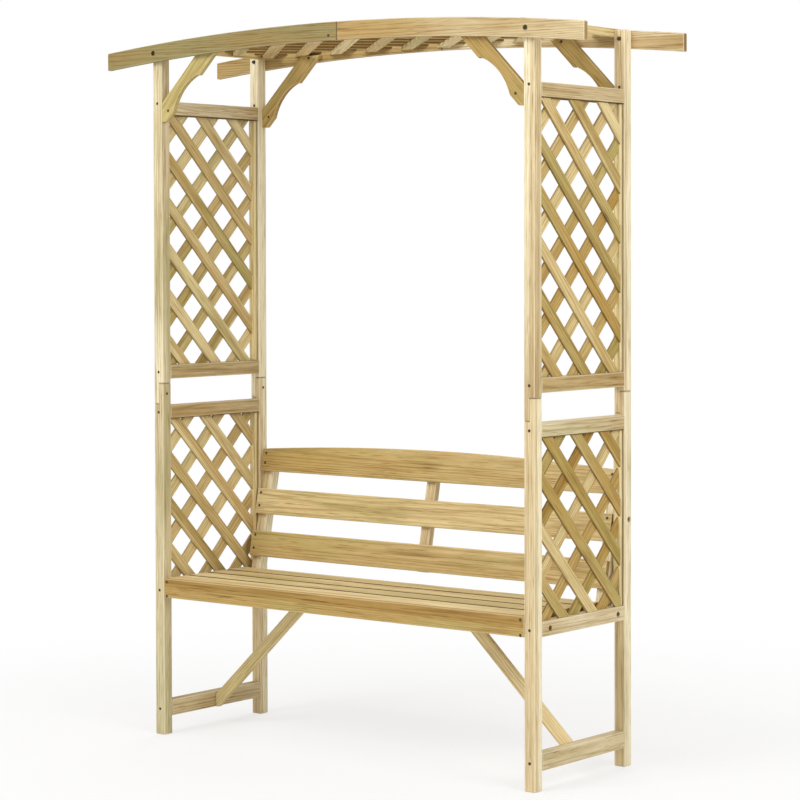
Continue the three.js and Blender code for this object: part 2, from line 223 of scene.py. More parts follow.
def pine(name, light, dark, stain, roughness, knots=1.0):
    """light, dark and stain are the wood's palest, deepest and greenest colours."""
    wood = Finish(name)
    place = wood.node("ShaderNodeAttribute", {"attribute_name": "grain"}, {})["Vector"]
    look = wood.node("ShaderNodeAttribute", {"attribute_name": "look"}, {})
    end = wood.node("ShaderNodeAttribute", {"attribute_name": "end"}, {})["Fac"]
    arris = wood.node("ShaderNodeAttribute", {"attribute_name": "arris"}, {})["Fac"]
    painted_shade = wood.node("ShaderNodeAttribute", {"attribute_name": "painted_shade"}, {})["Fac"]
    split = wood.node("ShaderNodeSeparateXYZ", {}, {0: place})
    along, across, through = split["X"], split["Y"], split["Z"]
    split = wood.node("ShaderNodeSeparateXYZ", {}, {0: look["Vector"]})
    seed, cut, tone = split["X"], split["Y"], split["Z"]
    green = look["Alpha"]
    turn = seed * 61.0

    def stretched(length, width):
        """The grain's space, scaled so that a noise has blotches of this size."""
        scale = {0: place, 1: (1 / length, 1 / width, 1 / width)}
        return wood.node("ShaderNodeVectorMath", {"operation": "MULTIPLY"}, scale)["Vector"]

    wander = wood.noise(stretched(0.45, 0.12), 1.0, 1.0, turn) - 0.5
    sway = wood.noise(stretched(0.16, 0.03), 1.0, 1.0, turn + 9.0) - 0.5
    side = across + (cut - 0.5) * LOG_REACH + wander * 0.02 + sway * 0.003
    depth = through + 0.01 + seed * 0.05 + along * (cut - 0.5) * LOG_LEAN + wander * 0.012
    heart = (side * side + depth * depth).root()
    rings = ((heart * (2 * math.pi / RING_WIDTH)).sine() * 0.5 + 0.5) ** 3.0
    fibres = wood.noise(stretched(0.045, 0.0010), 1.0, 2.0, turn + 3.0)
    streaks = wood.noise(stretched(0.20, 0.0038), 1.0, 3.0, turn + 5.0)
    lines = wood.noise(stretched(0.09, 0.0024), 1.0, 1.0, turn + 21.0)
    clouds = wood.noise(stretched(0.24, 0.06), 1.0, 2.0, turn + 7.0)
    damp = wood.noise(stretched(0.4, 0.05), 1.0, 1.0, turn + 13.0)

    cells = wood.node(
        "ShaderNodeTexVoronoi", {"voronoi_dimensions": "4D"},
        {"Vector": stretched(0.3, 0.085), "Scale": 1.0, "W": turn, "Randomness": 1.0},
    )["Distance"]
    knot = (1.0 - cells.between(0.05, 0.11)) * knots
    halo = (1.0 - cells.between(0.09, 0.24)) * knots

    drift = along * (cut - 0.5) * 1.2 + (clouds - 0.5) * 0.9
    body = wood.mix((tone + drift).between(-0.1, 1.1), light, dark)
    body = wood.mix((damp + green * 0.5).between(0.55, 0.95) * 0.75, body, stain)
    body = wood.mix(rings * 0.42, body, DARK_GRAIN_BROWN, "MULTIPLY")
    heartwood = (1.0 - heart.between(*HEARTWOOD)) * 0.55
    body = wood.mix(heartwood, body, HEART_BROWN, "MULTIPLY")
    body = wood.mix(streaks.between(0.50, 0.76) * 0.75, body, DARK_GRAIN_BROWN, "MULTIPLY")
    body = wood.mix(lines.between(0.60, 0.70) * 0.75, body, DARK_GRAIN_BROWN, "MULTIPLY")
    body = wood.mix(fibres.between(0.42, 0.75) * 0.6, body, FIBRE_BROWN, "MULTIPLY")
    body = wood.mix(halo * 0.35, body, DARK_GRAIN_BROWN, "MULTIPLY")
    body = wood.mix(knot * 0.85, body, KNOT_BROWN)
    body = wood.mix(end * 0.8, body, DARK_GRAIN_BROWN, "MULTIPLY")
    body = wood.mix(arris * 0.3, body, light)
    body = wood.mix((tone - 1.0).between(0.0, 1.0), body, WEATHER_GREY, "MULTIPLY")
    # Painted shade darkens the faces that look into a joint or a narrow gap.
    body = wood.mix(painted_shade * 0.9, body, PAINTED_SHADE_BROWN)

    relief = rings * 0.25 + fibres * 0.5 + streaks * 0.4 - knot * 0.3
    bump = wood.node(
        "ShaderNodeBump", {}, {"Strength": 0.4, "Distance": 0.0006, "Height": relief},
    )["Normal"]
    wood.shape(Base_Color=body, Roughness=fibres * 0.12 + painted_shade * 0.3 + roughness, Normal=bump)
    wood.shape(Specular_IOR_Level=0.18)
    return wood.material


FINISHES = {
    "pale_frame": pine(
        "pale frame pine", colour(250, 240, 208), colour(186, 157, 102), colour(184, 176, 128),
        0.58, 0.8,
    ),
    "honey_board": pine(
        "honey board pine", colour(240, 220, 170), colour(194, 164, 101), colour(190, 177, 114),
        0.56,
    ),
    "ochre_lattice": pine(
        "ochre lattice pine", colour(240, 222, 170), colour(186, 152, 80), colour(182, 170, 104),
        0.62, 0.7,
    ),
}
print("pine finishes:", ", ".join(FINISHES))

# %% [markdown]
# The bolts and screws are dull zinc plate. A plain metal shader would do, but it looks like
# chrome. Light scatters from the fine grain of zinc, so the metal is rough here, and a little
# noise breaks it up. A screw sits in a ring of crushed wood, in a countersunk hole that is not
# cut, so a dark brown ring stands for both the crushed wood and the painted shade of the hole,
# as do the dark strips of the slot. They have a finish of their own.

# %% Zinc and shaded holes
def zinc():
    metal = Finish("dull zinc")
    place = metal.node("ShaderNodeTexCoord", {}, {})["Object"]
    spots = metal.noise(place, 420.0, 2.0)
    metal.shape(Base_Color=metal.mix(spots, colour(62, 57, 49), colour(104, 98, 86)))
    metal.shape(Roughness=spots * 0.2 + 0.38, Metallic=0.9)
    return metal.material


def hole_shade():
    shade = Finish("shaded hole")
    place = shade.node("ShaderNodeTexCoord", {}, {})["Object"]
    mottle = shade.noise(place, 300.0, 1.0)
    shade.shape(Base_Color=shade.mix(mottle, colour(58, 40, 24), colour(86, 62, 38)), Roughness=0.8)
    return shade.material


FINISHES["zinc_steel"] = zinc()
HOLE = hole_shade()
print("metal finish:", FINISHES["zinc_steel"].name)

# %% [markdown]
# ## From a mesh to a piece
# On the real seat no two boards match: one beam half is grey-green and the other is nearly
# white. A finish for each board could do that, but dozens of materials are hard to keep
# alike. So each board gets four numbers instead. The boards that stand out in the photo have
# their own tone and green here, and a few have their own seed and cut, so that their knots
# and heartwood fall where they should. The dice settle all the others. The dice are thrown
# for every board, also where a number is given, so giving one board a look of its own leaves
# every other board as it was.

# %% The look of each board
TONES = {
    "front_beam_left": (1.66, 0.55), "front_beam_right": (0.82, 0.1),
    "back_beam_left": (1.15, 0.1), "back_beam_right": (0.5, 0.0),
    "front_left_post_upper": (0.35, 0.5), "front_left_post_lower": (0.3, 0.5),
    "front_right_post_upper": (0.3, 0.2), "front_right_post_lower": (-0.3, 0.0),
    "back_left_post_upper": (-0.2, 0.0), "back_left_post_lower": (-0.2, 0.1),
    "back_right_post_upper": (-0.2, 0.1), "back_right_post_lower": (-0.1, 0.1),
    "left_top_rail": (0.45, 0.0), "right_top_rail": (0.62, 0.2),
    "left_upper_panel_rail": (0.75, 0.3), "right_upper_panel_rail": (0.85, 0.1),
    "left_lower_panel_rail": (0.8, 0.1), "right_lower_panel_rail": (0.5, 0.4),
    "left_seat_rail": (0.6, 0.2), "right_seat_rail": (0.5, 0.0),
    "left_stretcher": (0.6, 0.2), "right_stretcher": (0.5, 0.4),
    "front_left_bracket": (0.6, 0.9), "front_right_bracket": (1.3, 0.3),
    "back_left_bracket": (0.9, 0.1), "back_right_bracket": (1.1, 0.2),
    "seat_apron": (1.15, 0.2), "back_crest_rail": (0.75, 0.1), "back_slat_middle": (0.35, 0.3),
    "back_slat_lower": (0.6, 0.2), "left_brace": (-0.4, 0.5), "right_brace": (-0.2, 0.0),
    "left_back_support": (-0.2, 0.0), "right_back_support": (-0.1, 0.0),
    "centre_back_support": (0.15, 0.0), "seat_slat_1": (-0.3, 0.1), "seat_slat_2": (-0.1, 0.5),
    "seat_slat_3": (0.1, 0.3), "seat_slat_4": (0.0, 0.4),
}
CUTS = {"back_beam_right": (0.05, 0.79), "seat_apron": (0.05, 0.21),
        "front_beam_right": (0.6, 0.05), "front_beam_left": (0.6, 0.95),
        "right_seat_rail": (0.8, 0.3), "left_brace": (0.6, 0.9)}


def look_of(node):
    tone, green = TONES.get(node, (dice.uniform(0.2, 0.7), dice.uniform(0.0, 0.6)))
    seed, cut = CUTS.get(node, (dice.random(), dice.random()))
    return (seed, cut, tone, green)


print("boards with a look of their own:", len(TONES))

# %% [markdown]
# A finished piece needs its mesh, its grain and its place in the seat. The grain could come
# from the piece's own coordinates, but a lattice panel holds boards that run two ways. So it
# is written for each point of the mesh: how far the point lies along its board, across its
# face and through its thickness, from the middle of the board. The arrises are rounded as a
# plane or a season of use rounds them, and the new faces are marked.

# %% Writing the grain and adding a piece
BOARDS = {}
FACES_ALONG = 0.6  # a face that looks this much along the board is a sawn end
FACES_JOINT = 0.3  # and one that looks this much into a joint gets painted shade


class Grain:
    """Marks the points and faces of boards with where they lie in their own timber."""

    def __init__(self, shape):
        self.shape = shape
        self.places = shape.verts.layers.float_vector.new("grain")
        self.looks = shape.verts.layers.float_color.new("look")
        self.ends = shape.faces.layers.float.new("end")
        self.painted_shade = shape.faces.layers.float.new("painted_shade")

    def write(self, along, across, look, middle=None, first_point=0, first_face=0, shade_ways=(),
              painted_shade=1.0):
        self.shape.verts.ensure_lookup_table()
        self.shape.faces.ensure_lookup_table()
        points = self.shape.verts[first_point:]
        if middle is None:
            low = Vector([min(point.co[axis] for point in points) for axis in range(3)])
            high = Vector([max(point.co[axis] for point in points) for axis in range(3)])
            middle = (low + high) / 2
        through = along.cross(across)
        for point in points:
            away = point.co - middle
            point[self.places] = (away.dot(along), away.dot(across), away.dot(through))
            point[self.looks] = look
        for face in self.shape.faces[first_face:]:
            face[self.ends] = float(abs(face.normal.dot(along)) > FACES_ALONG)
            # A face that looks into a joint or a gap is marked for painted shade.
            inside = any(face.normal.dot(way) > FACES_JOINT for way in shade_ways)
            face[self.painted_shade] = painted_shade * inside
        return middle


def take_in(shape, other):
    """Moves all the faces of another shape into this one."""
    spare = bpy.data.meshes.new("spare")
    other.to_mesh(spare)
    other.free()
    shape.from_mesh(spare)
    bpy.data.meshes.remove(spare)


def merge_board(grain, board, along, across, look=None, shade_ways=(), painted_shade=1.0):
    """Adds one more board, with a grain of its own, to a piece."""
    points, faces = len(grain.shape.verts), len(grain.shape.faces)
    take_in(grain.shape, board)
    grain.shape.normal_update()
    look = look or look_of("")
    grain.write(along, across, look, None, points, faces, shade_ways, painted_shade)


def mark_board(shape, node, along, across, shade_ways=(), painted_shade=1.0):
    """Marks a piece that is a single board, and remembers its grain for later cuts."""
    grain = Grain(shape)
    look = look_of(node)
    shape.normal_update()
    middle = grain.write(along, across, look, shade_ways=shade_ways, painted_shade=painted_shade)
    BOARDS[node] = (along, across, look, middle)


def piece_name(node):
    return node.replace("_", "-")


def add_piece(node, shape, finish):
    """Makes the object that takes the place of one node of the frame."""
    mesh = bpy.data.meshes.new(piece_name(node))
    shape.to_mesh(mesh)
    shape.free()
    mesh.materials.append(FINISHES[finish])
    piece = bpy.data.objects.new(piece_name(node), mesh)
    bpy.context.scene.collection.objects.link(piece)
    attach(piece, "root")
    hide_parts(node)
    return piece


def ease_edges(shape, ease, least_angle=0.6):
    """Rounds the outward arrises, and leaves the shallow joints of a curve alone."""
    sharp = [edge for edge in shape.edges if edge.calc_face_angle_signed(0.0) > least_angle]
    arris = shape.faces.layers.float.get("arris") or shape.faces.layers.float.new("arris")
    rounded = bmesh.ops.bevel(
        shape, geom=sharp, offset=ease, offset_type="OFFSET", segments=2, profile=0.5,
        affect="EDGES", clamp_overlap=True, material=-1,
    )["faces"]
    for face in rounded:
        face[arris] = 1.0


print("helpers for grain, pieces and arrises are ready")

# %% [markdown]
# ## Straight timber
# A rail, slat or bearer is a planed bar with softly rounded edges. It could be a copy of the
# frame's own mesh, but that is loose triangles with hard edges. So a cube from bmesh is
# stretched to the piece's box and its edges are bevelled in two steps, which catches a thin
# line of light as the real arris does. The faces that look into the gaps between the seat
# slats, and the undersides above the lattice panels, are painted darker as painted shade.

# %% Straight bars
AXES = {"x": RIGHT, "y": BACK, "z": UP}
SAWN_EASE = 0.0022
FRAME_EASE = 0.0026
SEAT_EASE = 0.003
SEAT_JOINTS = {1: (BACK,), 2: (BACK, -BACK), 3: (BACK, -BACK), 4: (-BACK,)}


def bar_shape(low, high, ease):
    shape = bmesh.new()
    bmesh.ops.create_cube(shape, size=1.0)
    bmesh.ops.scale(shape, verts=shape.verts, vec=high - low)
    bmesh.ops.translate(shape, verts=shape.verts, vec=(low + high) / 2)
    ease_edges(shape, ease)
    return shape


def add_bar(node, along, across, finish, ease=SAWN_EASE, shade_ways=()):
    shape = bar_shape(*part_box(node), ease)
    mark_board(shape, node, AXES[along], AXES[across], shade_ways)
    add_piece(node, shape, finish)


for side in SIDES:
    for rail in ("stretcher", "seat_rail", "upper_panel_rail"):
        add_bar(f"{side}_{rail}", "y", "z", "pale_frame", FRAME_EASE)
    for rail in ("lower_panel_rail", "top_rail"):
        add_bar(f"{side}_{rail}", "y", "z", "pale_frame", FRAME_EASE, shade_ways=(-UP,))
    add_bar(f"{side}_middle_bearer", "y", "z", "honey_board")
for count, joints in SEAT_JOINTS.items():
    add_bar(f"seat_slat_{count}", "x", "y", "honey_board", SEAT_EASE, shade_ways=joints)
add_bar("seat_apron", "x", "z", "honey_board", SEAT_EASE)
add_bar("seat_back_rail", "x", "z", "honey_board")
print("straight bars made: 10 rails, 4 seat slats, the apron and 3 bearers")

# %% [markdown]
# ## Sawn outlines
# Posts with a halved joint, arched beams, brackets and braces are all boards cut to an
# outline. They could be cubes with parts cut away, but a joiner draws the outline on the
# board and saws along it, and so does this: a few corners make one face, the face is
# extruded by the board's thickness, and only the sharp edges are rounded, so that a sawn
# curve stays smooth.

# %% Boards cut to an outline
# The painted shade on the shoulder faces of a post's halved joint.
SHOULDER_SHADE = 0.35


def outline_shape(corners, thickness, ease):
    """corners are points in space; thickness is the way and distance to extrude."""
    shape = bmesh.new()
    face = shape.faces.new([shape.verts.new(corner) for corner in corners])
    grown = bmesh.ops.extrude_face_region(shape, geom=[face])["geom"]
    moved = [item for item in grown if isinstance(item, bmesh.types.BMVert)]
    bmesh.ops.translate(shape, verts=moved, vec=thickness)
    bmesh.ops.recalc_face_normals(shape, faces=shape.faces)
    ease_edges(shape, ease)
    return shape


def add_outline(node, corners, thickness, along, across, finish, ease=SAWN_EASE, shade_ways=()):
    shape = outline_shape(corners, thickness, ease)
    mark_board(shape, node, along, across, shade_ways, SHOULDER_SHADE)
    add_piece(node, shape, finish)


print("a sawn arris is rounded by", SAWN_EASE, "m")

# %% [markdown]
# Each post is two lengths that meet in a halved joint at waist height: the lower length
# keeps one half of its thickness past the shoulder, and the upper length the other half. A
# whole post with two scratched lines could stand in for it, but the joint is open to view on
# two sides. So each length is sawn to its own stepped outline, with a hair of play between
# them. The shoulder lines show as two thin dark lines on the real post.

# %% Posts
LAP_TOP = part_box("front_left_post_lower")[1].z
LAP_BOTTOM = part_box("front_left_post_upper")[0].z


def add_post(end, side):
    low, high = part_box(f"{end}_{side}_post_lower")
    middle = (low.x + high.x) / 2
    lower = [(low.x, 0), (high.x, 0), (high.x, LAP_TOP), (middle + FIT / 2, LAP_TOP),
             (middle + FIT / 2, LAP_BOTTOM), (low.x, LAP_BOTTOM)]
    upper = [(low.x, LAP_BOTTOM + FIT), (middle - FIT / 2, LAP_BOTTOM + FIT),
             (middle - FIT / 2, LAP_TOP + FIT), (high.x, LAP_TOP + FIT), (high.x, POST_TOP),
             (low.x, POST_TOP)]
    for length, outline, shoulder in (("lower", lower, UP), ("upper", upper, -UP)):
        corners = [(x, low.y, z) for x, z in outline]
        node = f"{end}_{side}_post_{length}"
        step = BACK * STOCK
        add_outline(node, corners, step, UP, RIGHT, "pale_frame", FRAME_EASE, (shoulder,))


for end in ("front", "back"):
    for side in SIDES:
        add_post(end, side)
print("posts made; the joint runs from", round(LAP_BOTTOM, 3), "to", round(LAP_TOP, 3))

# %% [markdown]
# The beams are sawn to a long shallow arch. A straight bar could be bent to it with a
# modifier, but that tilts the sawn ends, which are plumb on the real beams. So the arch is
# drawn as a circle through the crown and the two ends, whose radius follows from the length
# and the fall. Each beam is two halves that meet over the middle of the seat in a halved
# joint, like the ones in the posts: the left half keeps its front layer past the middle, and
# the right half its back layer. So the seam shows a little to the right of the middle, with
# a screw to its left. The outline is split at the joint, all of it is extruded by half the
# thickness, and then only its longer part again.

# %% Arched beams
BEAM_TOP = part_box("front_beam_right")[1].z
BEAM_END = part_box("front_beam_right")[1].x
BEAM_HEIGHT = 0.050
BEAM_FALL = BEAM_TOP - BEAM_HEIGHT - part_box("front_beam_right")[0].z
BEAM_RADIUS = (BEAM_END ** 2 + BEAM_FALL ** 2) / (2 * BEAM_FALL)
BEAM_STEPS = 30
BEAM_SHADE = 0.6
SEAM = 0.030  # from the middle of the seat to either end of the halved joint


def arch(x):
    """The height of a beam's upper edge at this distance from the middle."""
    return BEAM_TOP - (BEAM_RADIUS - math.sqrt(BEAM_RADIUS ** 2 - x ** 2))


def grow(shape, faces, step):
    """Extrudes some faces by a step and gives the new faces."""
    grown = bmesh.ops.extrude_face_region(shape, geom=faces)["geom"]
    moved = [item for item in grown if isinstance(item, bmesh.types.BMVert)]
    bmesh.ops.translate(shape, verts=moved, vec=step)
    return [item for item in grown if isinstance(item, bmesh.types.BMFace)]


def add_beam(end, side):
    way = SIDES[side]
    front = FRONT - BOARD if end == "front" else REAR
    kept = front if side == "left" else front + BOARD
    step = BACK * (BOARD / 2 if side == "left" else -BOARD / 2)
    start = -SEAM + FIT
    run = [start + (BEAM_END - start) * part / BEAM_STEPS for part in range(BEAM_STEPS + 1)]
    top = [(way * x, kept, arch(x)) for x in run]
    bottom = [(way * x, kept, arch(x) - BEAM_HEIGHT) for x in reversed(run)]
    shape = bmesh.new()
    shape.faces.new([shape.verts.new(corner) for corner in top + bottom])
    everything = shape.verts[:] + shape.edges[:] + shape.faces[:]
    joint = RIGHT * way * (SEAM + FIT)
    bmesh.ops.bisect_plane(shape, geom=everything, plane_co=joint, plane_no=RIGHT)
    layer = grow(shape, shape.faces[:], step)
    longer = [face for face in layer if way * face.calc_center_median().x > SEAM]
    grow(shape, longer, step)
    bmesh.ops.recalc_face_normals(shape, faces=shape.faces)
    ease_edges(shape, SAWN_EASE)
    node = f"{end}_beam_{side}"
    # The faces that look into the halved joint are painted darker, as painted shade.
    mark_board(shape, node, RIGHT, UP, shade_ways=(RIGHT * -way,), painted_shade=BEAM_SHADE)
    return add_piece(node, shape, "pale_frame")


for end in ("front", "back"):
    for side in SIDES:
        beam = add_beam(end, side)
        print(beam.name, "faces:", len(beam.data.polygons))

# %% [markdown]
# A knee bracket stiffens each corner under the roof. It is cut from a board that leans at
# 45 degrees: plumb against the post, level under the roof, with a small step and then a
# hollow curve in its inner edge. It could be drawn where it stands, but its sizes are easier
# to see along the board. So the outline is given as places along and across the board, and
# one function turns each place into its point on the seat.

# %% Knee brackets
BRACKET_WIDTH = 0.050
BRACKET_NECK = 0.030  # what the hollow leaves of that width
BRACKET_LENGTH = 0.218
PLUMB_CUT = 0.054
BRACKET_JOG = 0.005
CURVE_START = 0.013
CURVE_END = 0.154
CURVE_STEPS = 22
BRACKET_EASE = 0.0018
HALF_ROOT = math.sqrt(0.5)


def bracket_place(side, front, along, across):
    """A place on the leaning board as a point in space; front is its front face."""
    heel = POST_TOP - 2 * SLAT - FIT - BRACKET_LENGTH * HALF_ROOT
    x = SIDES[side] * (INNER - FIT - (along + across) * HALF_ROOT)
    return Vector((x, front, heel + (along - across) * HALF_ROOT))


def hollow(start, end, depth, steps):
    """Points of an arc between two (along, across) places that dips into the board."""
    chord = math.hypot(end[0] - start[0], end[1] - start[1])
    radius = (chord ** 2 / 4 + depth ** 2) / (2 * depth)
    points = []
    for step in range(1, steps):
        run = chord * step / steps
        dip = math.sqrt(radius ** 2 - (run - chord / 2) ** 2) - (radius - depth)
        share = step / steps
        points.append((start[0] + (end[0] - start[0]) * share,
                       start[1] + (end[1] - start[1]) * share - dip))
    return points


def add_bracket(end, side):
    front = FRONT + FIT if end == "front" else REAR - BOARD - FIT
    foot = PLUMB_CUT * HALF_ROOT
    start = (CURVE_START, BRACKET_WIDTH)
    stop = (CURVE_END, BRACKET_WIDTH - BRACKET_JOG)
    depth = BRACKET_WIDTH - BRACKET_NECK - BRACKET_JOG / 2
    outline = [(0, 0), (-foot, foot), (BRACKET_WIDTH - 2 * foot, BRACKET_WIDTH), start,
               *hollow(start, stop, depth, CURVE_STEPS), stop, (CURVE_END, BRACKET_WIDTH),
               (BRACKET_LENGTH + BRACKET_WIDTH, BRACKET_WIDTH), (BRACKET_LENGTH, 0)]
    corners = [bracket_place(side, front, *place) for place in outline]
    grain = Vector((-SIDES[side], 0, 1)).normalized()
    across = Vector((SIDES[side], 0, 1)).normalized()
    node = f"{end}_{side}_bracket"
    add_outline(node, corners, BACK * BOARD, grain, across, "honey_board", BRACKET_EASE)


for end in ("front", "back"):
    for side in SIDES:
        add_bracket(end, side)
print("bracket outline: neck", BRACKET_NECK, "of", BRACKET_WIDTH, "m")

# %% [markdown]
# ## Lattice
# Each panel is two layers of thin sawn slats that cross at right angles and are nailed face
# to face. A flat sheet with holes would be lighter, but it loses the step between the two
# layers, which catches the light at every crossing. So a slat is a stretched cube with
# faintly eased edges, turned to its diagonal, then trimmed by cutting planes at the panel's
# edges. Its open cut ends are filled again, so each slat stays a closed solid with grain that
# follows its own diagonal. A scrap at a corner that is too small to nail is left out.

# %% Lattice slats
SLAT_WIDTH = 0.034
SLAT_EASE = 0.0009
PITCH = 0.134  # up the panel, from one slat to the next of its layer
SCRAP = 0.002  # in square metres of surface
MOST_GREEN = 0.55


def trim(shape, point, outward):
    """Saws off what lies outward of a point, and closes the cut."""
    cut = bmesh.ops.bisect_plane(
        shape, geom=shape.verts[:] + shape.edges[:] + shape.faces[:], plane_co=point,
        plane_no=outward, clear_outer=True,
    )["geom_cut"]
    rim = [item for item in cut if isinstance(item, bmesh.types.BMEdge)]
    if rim:
        bmesh.ops.edgeloop_fill(shape, edges=rim)


def slat_shape(centre, along, across, normal, length, planes):
    shape = bmesh.new()
    bmesh.ops.create_cube(shape, size=1.0)
    bmesh.ops.scale(shape, verts=shape.verts, vec=(length, SLAT_WIDTH, SLAT))
    ease_edges(shape, SLAT_EASE)
    turn = Matrix((along, across, normal)).transposed()
    bmesh.ops.rotate(shape, verts=shape.verts, cent=(0, 0, 0), matrix=turn)
    bmesh.ops.translate(shape, verts=shape.verts, vec=centre)
    for point, outward in planes:
        if shape.verts:
            trim(shape, point, outward)
    return shape


def lattice_shape(corner, across, up, normal, width, height, hole, tones, painted_shade=(0.4, 0.4)):
    """Two layers over a panel that starts at corner; hole is the place of one opening.

    tones give each layer's darkness, and the last argument its painted shade on the slat edges.
    """
    whole = bmesh.new()
    whole.faces.layers.float.new("arris")
    grain = Grain(whole)
    planes = [(corner, -across), (corner, -up), (corner + across * width, across),
              (corner + up * height, up)]
    for level, rise in ((0, 1), (1, -1)):
        start = hole[1] - rise * hole[0]
        lowest = -width if rise > 0 else 0.0
        first = math.ceil((lowest - start) / PITCH - 1)
        last = math.floor((lowest + width + height - start) / PITCH + 1)
        along = (across + up * rise).normalized()
        side = normal.cross(along)
        for count in range(first, last + 1):
            crossing = start + (count + 0.5) * PITCH
            middle = corner + across * (width / 2) + up * (crossing + rise * width / 2)
            middle += normal * SLAT * (level + 0.5)
            slat = slat_shape(middle, along, side, normal, 2 * (width + height), planes)
            if not slat.verts or sum(face.calc_area() for face in slat.faces) < SCRAP:
                slat.free()
                continue
            tone = dice.uniform(*tones[level])
            look = (dice.random(), dice.random(), tone, dice.uniform(0.0, MOST_GREEN))
            merge_board(grain, slat, along, side, look, (side, -side), painted_shade[level])
    return grain


print("lattice pitch", PITCH, "m, slats", SLAT_WIDTH, "m wide")

# %% [markdown]
# A side panel lies between its rails, from the front post to an upright batten beside the
# back post. The slats could be spread evenly, but a joiner cuts panels from a longer run of
# lattice, so they start anywhere. The middle of one opening, as seen in the photo, fixes
# where all the slats lie. The panels on the right stand in brighter light, so their wood
# is given darker tones to look alike.

# %% Side panels
STOP_THICK = 0.012
STOP_WIDE = 0.022
STOP_SHADOW = 0.002
STOP_EASE = 0.0025
STOP_LOOK = (-0.1, 0.1)  # the tone and the green of the upright batten
SET_BACK = 0.004
HOLES = {"upper": (0.051, 0.094), "lower": (0.066, 0.108)}
PANEL_TONES = {"left": (-0.3, 0.6), "right": (0.3, 1.2)}


def add_side_panel(side, level):
    node = f"{side}_{level}_lattice"
    low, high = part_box(node)
    way = SIDES[side]
    skins = sorted((way * (OUTER - SET_BACK), way * (OUTER - SET_BACK - 2 * SLAT)))
    corner = Vector((skins[0], low.y, low.z))
    stop_back = REAR - STOCK - STOP_SHADOW
    width = stop_back - STOP_THICK - low.y
    tones = [PANEL_TONES[side]] * 2
    grain = lattice_shape(corner, BACK, UP, RIGHT, width, high.z - low.z, HOLES[level], tones)
    middle = way * (OUTER - STOCK / 2)
    start = Vector((middle - STOP_WIDE / 2, stop_back - STOP_THICK, low.z))
    stop = Vector((middle + STOP_WIDE / 2, stop_back, high.z))
    look = (dice.random(), dice.random(), *STOP_LOOK)
    # The batten's back face, beside the post, is painted darker as painted shade of the narrow
    # gap.
    merge_board(grain, bar_shape(start, stop, STOP_EASE), UP, RIGHT, look, shade_ways=(BACK,))
    return add_piece(node, grain.shape, "ochre_lattice")


for side in SIDES:
    for level in HOLES:
        panel = add_side_panel(side, level)
        print(panel.name, "faces:", len(panel.data.polygons))

# %% [markdown]
# The roof panel lies flat between the beams, with a batten at each end against the posts. It
# could be a side panel turned flat, but its two layers don't look alike. Seen from below, the
# lower slats are lit and pale with clean edges, and the upper ones lie in shade. So the same
# lattice function runs again: paler tones below as painted light, and darker tones and dark
# slat edges above as painted shade.

# %% Roof panel
ROOF_HOLE = (0.028, 0.085)
ROOF_HALF = INNER - BOARD - FIT
# The lower layer is painted paler as painted light, the upper darker as painted shade, and the
# next line gives the painted shade on each layer's slat edges.
ROOF_LIT_AND_SHADED_TONES = ((-0.3, 0.1), (0.6, 1.4))
ROOF_EDGE_SHADE = (0.2, 1.0)
BATTEN_HEIGHT = 0.022
BATTEN_EASE = 0.0015


def add_roof_panel():
    corner = Vector((-ROOF_HALF, REAR - FIT, POST_TOP - 2 * SLAT))
    depth = REAR - FRONT - 2 * FIT
    grain = lattice_shape(
        corner, -BACK, RIGHT, UP, depth, 2 * ROOF_HALF, ROOF_HOLE, ROOF_LIT_AND_SHADED_TONES, ROOF_EDGE_SHADE,
    )
    middle = POST_TOP - SLAT
    for way in SIDES.values():
        ends = sorted((way * ROOF_HALF, way * (ROOF_HALF + BOARD)))
        low = Vector((ends[0], FRONT + FIT, middle - BATTEN_HEIGHT / 2))
        high = Vector((ends[1], REAR - FIT, middle + BATTEN_HEIGHT / 2))
        merge_board(grain, bar_shape(low, high, BATTEN_EASE), BACK, UP)
    return add_piece("roof_lattice", grain.shape, "ochre_lattice")


print("roof faces:", len(add_roof_panel().data.polygons))

# %% [markdown]
# ## Bearers and braces
# The end bearers carry the seat slats and are cut on a slant where they meet the leaning back
# supports. The braces rise from the stretchers to the middle bearers and keep the bench from
# sagging. A brace could be a turned bar, but its foot is cut plumb against the stretcher and
# its head level under the bearer. So both pieces are outlines again, worked out from their
# slope and from the boxes of the frame.

# %% End bearers and braces
LEAN = math.radians(12)
LEAN_UP = Vector((0, math.sin(LEAN), math.cos(LEAN)))
LEAN_BACK = Vector((0, math.cos(LEAN), -math.sin(LEAN)))
BRACE_WIDTH = 0.034
BRACE_HEEL = 0.090  # how high up the plumb cut of the foot ends
BRACE_SLOPE = math.radians(43.3)


def add_end_bearer(side):
    node = f"{side}_seat_bearer"
    low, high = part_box(node)
    slant = (high.z - low.z) * math.tan(LEAN)
    corners = [(low.x, low.y, low.z), (low.x, high.y - slant, low.z), (low.x, high.y, high.z),
               (low.x, low.y, high.z)]
    add_outline(node, corners, RIGHT * (high.x - low.x), BACK, UP, "honey_board")


def add_brace(side):
    node = f"{side}_brace"
    low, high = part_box(node)
    face = INNER - FIT
    shift = BRACE_WIDTH / math.sin(BRACE_SLOPE)
    head = face - (high.z - BRACE_HEEL) / math.tan(BRACE_SLOPE)
    foot = face - (low.z - BRACE_HEEL) / math.tan(BRACE_SLOPE) - shift
    outline = [(face, BRACE_HEEL), (head, high.z), (head - shift, high.z), (foot, low.z),
               (face, low.z)]
    way = SIDES[side]
    corners = [(way * x, low.y, z) for x, z in outline]
    along = Vector((-way * math.cos(BRACE_SLOPE), 0, math.sin(BRACE_SLOPE)))
    across = Vector((way * math.sin(BRACE_SLOPE), 0, math.cos(BRACE_SLOPE)))
    add_outline(node, corners, BACK * BOARD, along, across, "honey_board")


